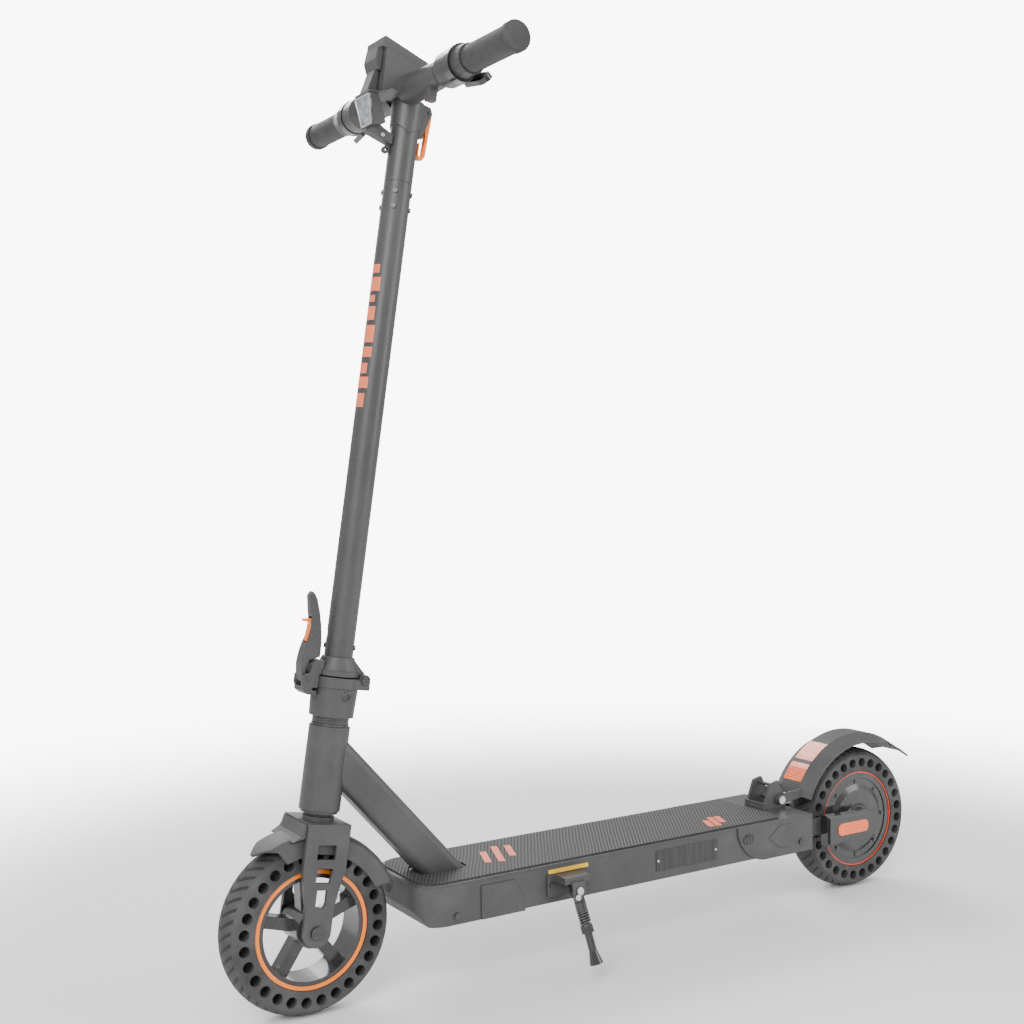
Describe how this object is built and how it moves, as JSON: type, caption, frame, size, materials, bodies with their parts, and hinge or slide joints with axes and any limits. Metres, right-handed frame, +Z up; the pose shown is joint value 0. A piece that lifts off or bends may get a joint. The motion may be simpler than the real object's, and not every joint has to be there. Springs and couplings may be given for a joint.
{
  "type": "electric kick scooter",
  "caption": "Folding electric kick scooter with solid honeycomb tyres, slim deck, fold-down stem, hub-motor rear wheel, kickstand and fender foot brake.",
  "frame": {"origin": "on the floor under the centre of the overall box, midway between the axles and in the centre plane", "axes": "+Z up; forward, the way it rides, is -X; the rider's left, the kickstand side, is -Y"},
  "size_m": [1.05, 0.498, 1.106],
  "materials": {
    "frame_black": "satin black powder coat",
    "stem_black": "satin black paint",
    "moulded_black": "fine-textured black moulding",
    "gloss_black": "glossy black moulding",
    "mat_rubber": "grooved black rubber",
    "grip_rubber": "ribbed black rubber",
    "tyre_rubber": "solid black tyre",
    "rim_black": "gloss black rim",
    "orange_plastic": "bright orange",
    "ring_red": "red-orange ring",
    "steel_bright": "bright zinc steel",
    "steel_dark": "black oxide steel",
    "lamp_chrome": "chromed reflector behind a clear face",
    "lens_dark": "smoked display window",
    "button_red": "red button",
    "battery_blue": "blue shrink wrap",
    "controller_alu": "plain aluminium",
    "wire_red": "insulated lead",
    "copper": "varnished copper windings",
    "spring_steel": "dark spring steel"
  },
  "bodies": {
    "frame": {"head_tube": "frame_black", "down_tube": "frame_black", "deck_tray": "frame_black", "deck_lid": "frame_black", "deck_mat": "mat_rubber", "nose_cap": "moulded_black", "battery": "battery_blue", "controller": "controller_alu", "wiring": "wire_red", "tail_covers": "moulded_black", "rear_stays": "frame_black", "stay_caps": "gloss_black", "charge_port": "gloss_black", "kick_bracket": "frame_black", "tail_catch": "frame_black", "hinge_pins": "steel_bright", "fender_spring": "spring_steel", "deck_screws": "steel_dark", "headset": "steel_dark", "motor_axle": "steel_bright", "axle_nuts": "steel_bright", "stator": "copper"},
    "cap": {"port_cap": "mat_rubber"},
    "kickstand": {"kick_leg": "gloss_black", "kick_spring": "spring_steel"},
    "rear_wheel": {"magnets": "steel_bright", "motor_shell": "rim_black", "motor_covers": "rim_black", "motor_bearings": "steel_bright", "rear_tyre": "tyre_rubber", "rear_rings": "ring_red"},
    "foot_brake": {"rear_fender": "moulded_black"},
    "steering": {"fork": "frame_black", "front_axle": "steel_dark", "front_fender": "moulded_black", "fold_base": "frame_black", "fold_hardware": "steel_dark"},
    "front_wheel": {"front_rim": "rim_black", "front_tyre": "tyre_rubber", "front_rings": "orange_plastic", "front_bearings": "steel_bright"},
    "stem": {"stem_block": "frame_black", "stem_tube": "stem_black", "stem_collar": "stem_black", "latch_link": "frame_black", "head_casting": "stem_black", "dash": "moulded_black", "display_lens": "lens_dark", "headlamp": "gloss_black", "lamp_lens": "lamp_chrome", "stem_screws": "steel_dark", "bar_tube": "controller_alu", "grips": "grip_rubber", "control_housings": "stem_black"},
    "lever": {"fold_lever": "frame_black"},
    "safety": {"fold_latch": "orange_plastic"},
    "hook": {"bag_hook": "orange_plastic"},
    "button": {"power_button": "button_red"},
    "brake": {"brake_paddle": "gloss_black"},
    "throttle": {"throttle_paddle": "gloss_black"}
  },
  "joints": [
    {"name": "steer", "type": "hinge", "parent": "frame", "child": "steering", "pos_m": [-0.425, 0, 0.1], "axis": [0.1564, 0, 0.9877], "range_deg": [-45, 45]},
    {"name": "front_wheel_spin", "type": "hinge", "parent": "steering", "child": "front_wheel", "pos_m": [-0.425, 0, 0.1], "axis": [0, 1, 0], "continuous": true},
    {"name": "rear_wheel_spin", "type": "hinge", "parent": "frame", "child": "rear_wheel", "pos_m": [0.425, 0, 0.1], "axis": [0, 1, 0], "continuous": true},
    {"name": "stem_fold", "type": "hinge", "parent": "steering", "child": "stem", "pos_m": [-0.35561, 0, 0.37382], "axis": [0, 1, 0], "range_deg": [0, 95]},
    {"name": "lever_open", "type": "hinge", "parent": "stem", "child": "lever", "pos_m": [-0.42102, 0, 0.38083], "axis": [0, -1, 0], "range_deg": [0, 70]},
    {"name": "safety_press", "type": "hinge", "parent": "lever", "child": "safety", "pos_m": [-0.41569, 0, 0.42403], "axis": [0, 1, 0], "range_deg": [0, 8]},
    {"name": "hook_swing", "type": "hinge", "parent": "stem", "child": "hook", "pos_m": [-0.25226, 0, 1.02891], "axis": [0, -1, 0], "range_deg": [0, 90]},
    {"name": "brake_press", "type": "hinge", "parent": "stem", "child": "brake", "pos_m": [-0.28161, 0, 1.05007], "axis": [0, 1, 0], "range_deg": [0, 25], "stiffness_Nm_per_rad": 0.5},
    {"name": "throttle_press", "type": "hinge", "parent": "stem", "child": "throttle", "pos_m": [-0.28161, 0, 1.05007], "axis": [0, 1, 0], "range_deg": [0, 25], "stiffness_Nm_per_rad": 0.5},
    {"name": "power_press", "type": "slide", "parent": "stem", "child": "button", "axis": [-0.4019, 0, -0.9157], "range_m": [0, 0.0008], "stiffness_N_per_m": 800},
    {"name": "fender_press", "type": "hinge", "parent": "frame", "child": "foot_brake", "pos_m": [0.277, 0, 0.148], "axis": [0, 1, 0], "range_deg": [0, 4], "stiffness_Nm_per_rad": 30},
    {"name": "kickstand_swing", "type": "hinge", "parent": "frame", "child": "kickstand", "pos_m": [-0.112, -0.0885, 0.106], "axis": [0, -0.9744, 0.225], "range_deg": [0, 78]},
    {"name": "port_cap_open", "type": "hinge", "parent": "frame", "child": "cap", "pos_m": [0.177, -0.0696, 0.1232], "axis": [-1, 0, 0], "range_deg": [0, 110]}
  ]
}
